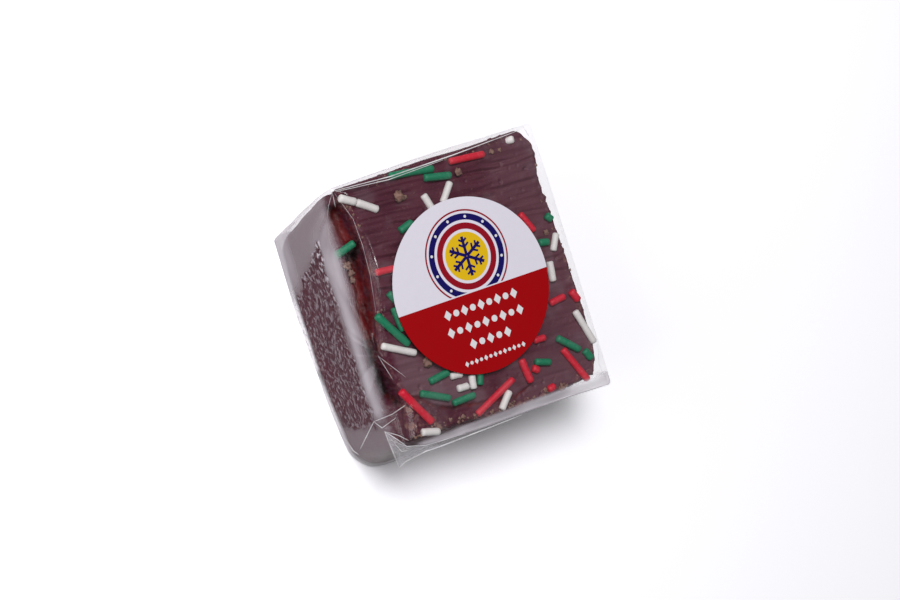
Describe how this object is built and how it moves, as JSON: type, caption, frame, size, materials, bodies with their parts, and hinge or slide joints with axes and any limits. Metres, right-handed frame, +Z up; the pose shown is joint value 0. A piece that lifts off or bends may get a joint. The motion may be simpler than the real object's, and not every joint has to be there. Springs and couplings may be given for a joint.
{
  "type": "wrapped chocolate fudge",
  "caption": "Hand-cut block of dark chocolate fudge with sprinkles on its top, wrapped tight in clear film that a round paper label closes.",
  "frame": {"origin": "middle of the bounding box's underside, on the surface that the pack lies on", "axes": "+Z up, +X along the block's short side, +Y along its long side"},
  "size_m": [0.0644, 0.0712, 0.0281],
  "materials": {
    "film": "clear, thin and glossy, milky where it stands off the sweet",
    "label_paper": "coated paper, half white and half red, with plain printed shapes",
    "fudge": "chocolate fudge: dense, slightly moist, satin, crumbly at its cut edges",
    "sprinkle_red": "red sugar strand, satin",
    "sprinkle_green": "green sugar strand, satin",
    "sprinkle_white": "white sugar strand, satin"
  },
  "bodies": {
    "root": {"film_pack": "film", "label": "label_paper"}
  },
  "joints": []
}
